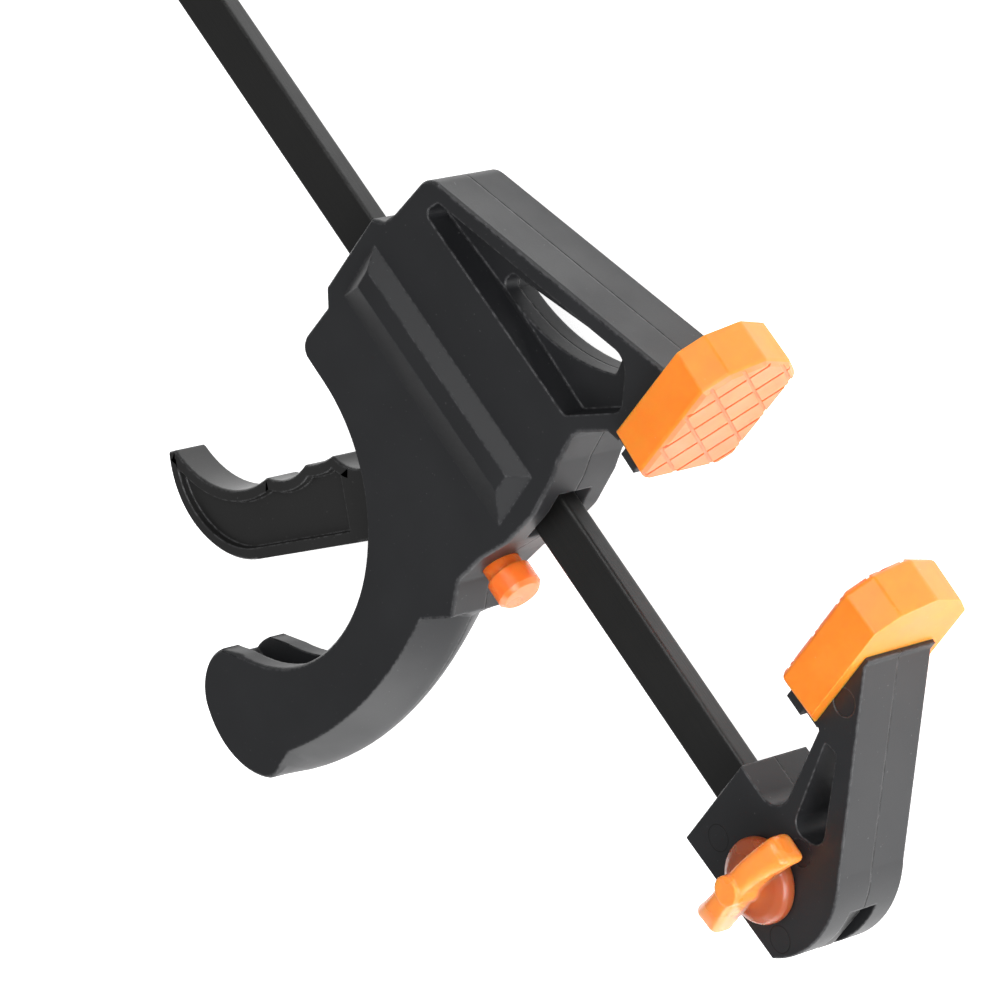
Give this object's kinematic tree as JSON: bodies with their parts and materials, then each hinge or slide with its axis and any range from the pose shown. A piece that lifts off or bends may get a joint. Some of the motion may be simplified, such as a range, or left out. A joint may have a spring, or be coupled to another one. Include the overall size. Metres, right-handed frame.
{
  "type": "quick release bar clamp",
  "caption": "One-handed bar clamp: flat steel bar, fixed jaw with wing knob, sliding jaw with handle, squeeze trigger and release button, and soft gripping pads.",
  "frame": {"origin": "on the bar's centre line, in the plane of the fixed jaw's gripping face; the clamp lies on its far side", "axes": "+X along the bar towards the fixed jaw, +Y from the bar up to the pads, +Z across the thickness towards the wing knob"},
  "size_m": [0.307, 0.2107, 0.0363],
  "materials": {
    "nylon": "fine matte moulded black nylon with a faint sheen",
    "trigger_nylon": "matte moulded black nylon, polished a little by fingers on the scallops",
    "nylon_pin": "matte black plastic pin, flush with the jaw",
    "pad": "soft translucent orange plastic, satin",
    "knob": "translucent orange moulded plastic",
    "button": "orange moulded plastic",
    "bar_steel": "black finished flat steel with light wear",
    "bright_steel": "bright turned steel",
    "screw_steel": "zinc plated self-tapping screws",
    "plate_steel": "stamped steel plate",
    "spring_steel": "drawn spring wire"
  },
  "bodies": {
    "bar": {"slide_bar": "bar_steel", "fixed_jaw_near": "nylon", "fixed_jaw_far": "nylon", "fixed_jaw_pins": "nylon_pin", "fixed_jaw_pad": "pad", "knob_nut": "bright_steel"},
    "knob": {"wing_knob": "knob", "knob_screw": "bright_steel"},
    "moving_jaw": {"body_near": "nylon", "body_far": "nylon", "body_screws": "screw_steel", "moving_jaw_pad": "pad", "trigger_pin": "bright_steel", "drive_spring": "spring_steel", "brake_spring": "spring_steel"},
    "trigger": {"trigger": "trigger_nylon"},
    "drive_plates": {"drive_plate_front": "plate_steel", "drive_plate_rear": "plate_steel"},
    "brake": {"brake_plate": "plate_steel"},
    "button": {"release_button": "button"}
  },
  "joints": [
    {"name": "jaw_slide", "type": "slide", "parent": "bar", "child": "moving_jaw", "axis": [1, 0, 0], "range_m": [-0.104, 0.0525]},
    {"name": "trigger_squeeze", "type": "hinge", "parent": "moving_jaw", "child": "trigger", "pos_m": [-0.112, -0.025, 0], "axis": [0, 0, 1], "range_deg": [0, 24], "stiffness_Nm_per_rad": 0.3, "springref_deg": -20.05},
    {"name": "drive_push", "type": "slide", "parent": "moving_jaw", "child": "drive_plates", "axis": [-1, 0, 0], "range_m": [0, 0.0055], "deforming": ["drive_spring"]},
    {"name": "button_press", "type": "slide", "parent": "moving_jaw", "child": "button", "axis": [-1, 0, 0], "range_m": [0, 0.0018], "stiffness_N_per_m": 600, "springref_m": -0.002},
    {"name": "brake_release", "type": "hinge", "parent": "moving_jaw", "child": "brake", "pos_m": [-0.0893, 0.0105, 0], "axis": [0, 0, -1], "range_deg": [0, 3], "deforming": ["brake_spring"]},
    {"name": "knob_turn", "type": "hinge", "parent": "bar", "child": "knob", "pos_m": [0.0249, 0, 0], "axis": [0, 0, 1], "continuous": true}
  ],
  "couplings": [
    {"joint": "drive_push", "follows": "trigger_squeeze", "m_per_rad": 0.013},
    {"joint": "brake_release", "follows": "button_press", "rad_per_m": 28.7}
  ]
}
